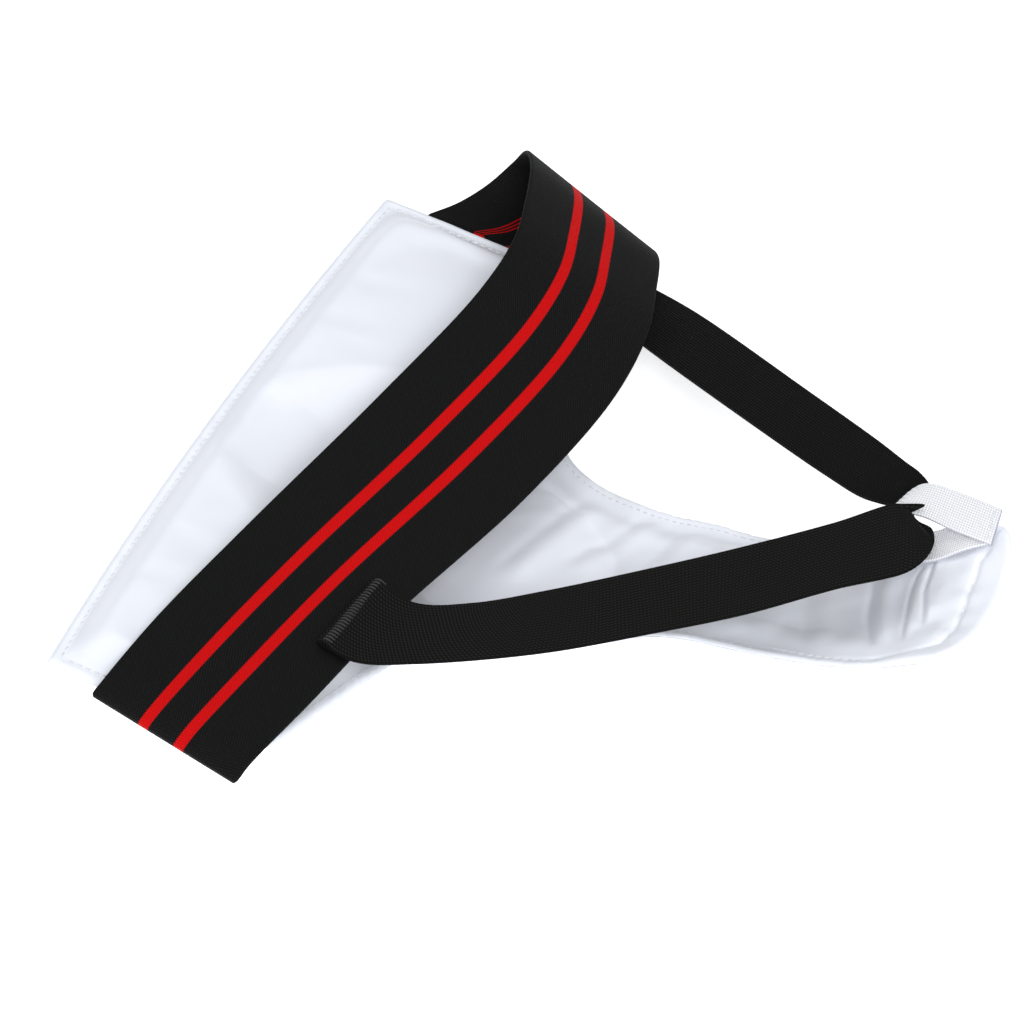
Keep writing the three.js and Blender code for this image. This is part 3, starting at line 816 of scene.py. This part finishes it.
def strip(name, pairs, width, thickness, spacing, columns, material, relief=None, swell=None,
          flap=None):
    """A woven strip between two edge curves, with rounded edges. relief(u, v) is the height of its
    weave, swell(v, length) the extra thickness along it, and flap pulls one edge into a point."""
    one = spline([p[0] for p in pairs])
    two = spline([p[1] for p in pairs])
    gaps = np.linalg.norm(np.diff((one + two) / 2, axis=0), axis=1)
    run = np.concatenate([[0], np.cumsum(gaps)])
    count = int(round(run[-1] / spacing)) + 1
    v = np.linspace(0, run[-1], count)
    one = np.column_stack([np.interp(v, run, one[:, k]) for k in range(3)])
    two = np.column_stack([np.interp(v, run, two[:, k]) for k in range(3)])
    across = two - one
    along = np.gradient((one + two) / 2, axis=0)
    normal = np.cross(along, across)
    normal /= np.linalg.norm(normal, axis=1)[:, None]
    r = thickness / 2
    round_edge = np.array([0.0, 0.07 * r, 0.3 * r, 0.65 * r])
    flat_part = np.linspace(r, width - r, columns)
    u = np.unique(np.concatenate([round_edge, flat_part, width - round_edge]))
    n = len(u)
    edge = np.minimum(u, width - u)
    half = r * np.sqrt(np.clip(1 - np.clip(1 - edge / r, 0, 1) ** 2, 0, 1))
    thick = half[None, :] * np.ones((count, 1))
    if swell is not None:
        thick = thick * (1 + swell(v, run[-1])[:, None])
    base = one[:, None] + across[:, None] * (u / width)[None, :, None]
    if flap is not None:
        off = v - run[flap["station"] * SPLINE_STEPS]
        rising, falling = smoothstep(off, -flap["before"], 0), smoothstep(-off, -flap["after"], 0)
        bump = np.where(off < 0, rising, falling)
        hold = smoothstep(flap["reach"] - u, 0, flap["reach"])
        base = base + (bump[:, None] * hold[None, :])[..., None] * np.array(flap["pull"])
    lift = np.zeros_like(thick)
    if relief is not None:
        lift = relief(u[None, :], v[:, None]) * smoothstep(edge, 0.2 * r, 1.2 * r)[None, :]
    outer = base - normal[:, None] * (thick + lift)[..., None]
    inner = base + normal[:, None] * (thick + lift)[..., None]
    ring = np.concatenate([outer, inner[:, -2:0:-1]], axis=1)
    size = ring.shape[1]
    uu = np.concatenate([u, u[-2:0:-1]])
    faces, attribute = [], []
    for k in range(count - 1):
        for i in range(size):
            j = (i + 1) % size
            faces.append([k * size + i, k * size + j, (k + 1) * size + j, (k + 1) * size + i])
            side = 0.0 if i < n - 1 else 1.0
            attribute += [(uu[i], v[k], side), (uu[j], v[k], side),
                          (uu[j], v[k + 1], side), (uu[i], v[k + 1], side)]
    for k, flip in ((0, True), (count - 1, False)):
        for i in range(n - 1):
            a, b = k * size + i, k * size + i + 1
            c, d = k * size + (size - i - 1) % size, k * size + (size - i) % size
            quad = [a, b, c, d] if i else [a, b, c]
            if i == n - 2:
                quad = [a, b, d]
            quad = list(dict.fromkeys(quad))
            faces.append(quad[::-1] if not flip else quad)
            attribute += [(u[i], v[k], 0.0)] * len(quad)
    vertices = ring.reshape(-1, 3)
    obj = make(name, vertices, faces, material, attribute)
    obj["length_mm"] = float(run[-1])
    return obj


BAND_PAIRS = [
    ((-128.2, 93, 29.8), (-126.8, 43, 23.5)), ((-131.3, 91, 31.8), (-139, 37, 28)),
    ((-134, 91, 35), (-148.5, 33, 33.5)), ((-130.5, 89, 38.5), (-143.5, 31, 37)),
    ((-103, 84, 43.5), (-114, 25, 38.5)), ((-56, 74.5, 47.5), (-66, 18, 37)),
    ((14, 60, 52), (2.5, 3, 35)), ((69, 49, 58), (60, -4, 34)), ((95, 48, 61), (97, -1.5, 33)),
    ((116, 53, 60), (120, 5, 31.5)), ((141, 62, 55), (142, 13, 27.5)),
    ((158, 72, 45), (152, 21, 20.5)), ((161, 78, 35.5), (153, 27, 14)),
    ((153, 84, 29.5), (146, 32, 12)), ((140, 90, 28.5), (136.5, 37, 14.5)),
    ((128.2, 96, 30), (126.8, 43, 23.5))]
BAND_THICK = 1.5
waistband = strip("waistband_band", BAND_PAIRS, BAND_WIDTH, BAND_THICK, 1.6, 40, BAND)
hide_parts("waistband")
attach(waistband, "waistband")

STRAP_PAIRS = [
    ((131, 44, 11.8), (155, 43, 9.3)), ((127, 34, 10.8), (151, 30, 7.8)),
    ((118, 18, 14), (143, 14, 12)), ((103, 2, 22), (126, -10, 22)), ((68, -48, 37), (90, -62, 37)),
    ((44, -88, 45.4), (66, -98, 46)), ((35.5, -103, 49.2), (56, -111, 50)),
    ((34.5, -110, 50), (52.8, -117, 50.3)), ((34, -116.5, 50.8), (47, -122.5, 50.8)),
    ((25.5, -118.3, 51.8), (31.6, -122.6, 52.1)),
    ((20.5, -119, 53.6), (28, -125.9, 53)), ((19.8, -119.8, 56.3), (25.6, -130.8, 54)),
    ((23.6, -123.6, 60), (18.2, -133.9, 55)), ((25.4, -120.8, 60.2), (9, -134.5, 57)),
    ((26.3, -118.2, 60), (-0.5, -131.1, 58)),
    ((12, -102, 57.5), (-15, -113, 56.5)), ((-5, -76, 51), (-31, -89, 50)),
    ((-24, -48, 46), (-46, -64, 45)), ((-41, -24, 43), (-66, -34, 42)),
    ((-55, -5, 42.5), (-86, 1, 41.2)), ((-61, 12, 41), (-93, 18.5, 41.2)),
    ((-57, 29, 41.4), (-91, 33, 41.8))]
STRAP_WIDTH, STRAP_THICK, HEM = 30.0, 1.3, 7.0
STRAP_ROW = 0.9
TONGUE = dict(station=13, before=2.6, after=4.5, reach=3.2, pull=(3.1, -6.1, 0.8))    # at the turn


def ribs(u, v):
    return RIB_RELIEF * np.cos(2 * np.pi * u / RIB_PITCH)


def hems(v, length):
    """The ends are folded under, with a rolled ridge where they are overlocked."""
    from_end = np.minimum(v, length - v)
    folded = 0.75 * smoothstep(HEM - from_end, 0, 2)
    roll = 1.1 * np.exp(-((from_end - 2.6) / 1.8) ** 2)
    return folded + roll


leg_strap = strip("leg_strap_webbing", STRAP_PAIRS, STRAP_WIDTH, STRAP_THICK, STRAP_ROW, 97,
                  STRAP, ribs, hems, TONGUE)
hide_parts("leg_strap", "strap_hem_right", "strap_hem_left")
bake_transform(leg_strap)

LOOP_PAIRS = [
    ((18.7, -153, 62.0), (32.4, -151.5, 65.2)), ((22, -139, 60), (37, -138, 62.3)),
    ((26, -126, 58), (40, -125.5, 59.8)), ((25.5, -118.5, 56.8), (40, -122, 58.2)),
    ((23.5, -115, 55), (37, -119, 56.2)), ((20, -113, 51.5), (32.5, -116.4, 51.8)),
    ((17, -115, 48.4), (29, -119, 48.4)), ((15.5, -121.5, 47.3), (28.5, -124, 47.6)),
    ((15, -134, 50.3), (28.6, -132, 51.4)), ((18, -145, 57.3), (31.5, -143, 60.3)),
    ((20.4, -152.4, 60.8), (33.6, -151, 63.8))]
LOOP_WIDTH, LOOP_THICK = 14.5, 1.2


def basket(u, v):
    return WEB_RELIEF * np.sin(2 * np.pi * u / WEB_PITCH) * np.sin(2 * np.pi * v / WEB_PITCH)


loop_tape = strip("webbing_loop_tape", LOOP_PAIRS, LOOP_WIDTH, LOOP_THICK, 0.38, 40, WEB,
                  basket)
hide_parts("webbing_loop")
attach(loop_tape, "webbing_loop")

# ---- overlock and loop stitches ------------------------------------------------------------
OVERLOCKS = 24
OVERLOCK_RADIUS = 0.36


def overlock(name, start, end, reach, height):
    """Slanted thick threads that wrap over the ridge of a folded strap end."""
    start, end, reach = np.array(start, float), np.array(end, float), np.array(reach, float)
    up = np.cross(reach, end - start)
    up *= np.sign(up[2]) / np.linalg.norm(up) * height
    vertices, faces = [], []
    sides, rings = 8, np.linspace(0, 1, 11)
    for i in range(OVERLOCKS):
        a = start + (end - start) * (i + 0.15) / OVERLOCKS - reach
        b = start + (end - start) * (i + 0.75) / OVERLOCKS + reach
        tangent = (b - a) / np.linalg.norm(b - a)
        normal = up / np.linalg.norm(up)
        side = np.cross(tangent, normal)
        base = len(vertices)
        for t in rings:
            c = a + (b - a) * t + up * (np.sin(np.pi * t) - 0.1)
            r = OVERLOCK_RADIUS * max(0.4, np.sin(np.pi * t)) ** 0.4
            for k in range(sides):
                angle = 2 * np.pi * k / sides
                vertices.append(c + r * (np.cos(angle) * side + np.sin(angle) * normal))
        for ring in range(len(rings) - 1):
            for k in range(sides):
                p, q = base + ring * sides + k, base + ring * sides + (k + 1) % sides
                faces.append([p, p + sides, q + sides, q])
        faces.append([base + k for k in range(sides)])
        faces.append([base + (len(rings) - 1) * sides + k for k in reversed(range(sides))])
    return make(name, vertices, faces, GREY_THREAD)


left_lock = overlock("strap_end_overlock_left", (-57.6, 26.6, 42.1), (-90.4, 30.2, 42.5),
                     (0.3, 2.3, 0), 1.15)
right_lock = overlock("strap_end_overlock_right", (131, 41.2, 10.6), (154, 40.6, 8.0),
                      (0.3, 2.3, 0.2), -1.15)
for piece, node in ((left_lock, "strap_end_stitch_left"), (right_lock, "strap_end_stitch_right")):
    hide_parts(node)
    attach(piece, "waistband")

seam_line = np.array([(19.4, -151.2, 62.5), (25, -150.6, 63.9), (30.9, -149.9, 65.5)])
seam_up = np.tile([-0.26, 0.03, 0.96], (3, 1))
loop_seam = stitches("loop_seam_stitches", (seam_line, seam_up), lift=0.0, pitch=2.2,
                     length=1.7, radius=0.34, material=THREAD)
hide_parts("loop_seam_stitch")
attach(loop_seam, "webbing_loop")

# ---- pieces sealed inside keep their CAD solids --------------------------------------------
FOAM_NODES = ("cup_foam_liner", "cup_rim_cushion", "abdomen_pad", "tail_foam_strip")
inside = {"hard_cup": plastic(), **{node: foam() for node in FOAM_NODES}}
for node, material in inside.items():
    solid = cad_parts[node]
    for place in solid.material_slots:
        place.material = material

# ---- floor ---------------------------------------------------------------------------------
# It glows faintly, so that it stays as white as the photo's background.
FLOOR_REACH, FLOOR_GLOW = 6000, 0.55
floor_material = Nodes("floor", 0.8, Emission_Color=(1, 1, 1, 1), Emission_Strength=FLOOR_GLOW)
floor_material.color(floor_material.ramp(floor_material.noise(3, 2),
                     [(0.3, (0.93, 0.93, 0.935)), (0.7, (0.94, 0.94, 0.945))]))
corners = [(-1, -1, 0), (1, -1, 0), (1, 1, 0), (-1, 1, 0)]
floor = make("floor", np.array(corners) * FLOOR_REACH, [[0, 1, 2, 3]], floor_material.material)
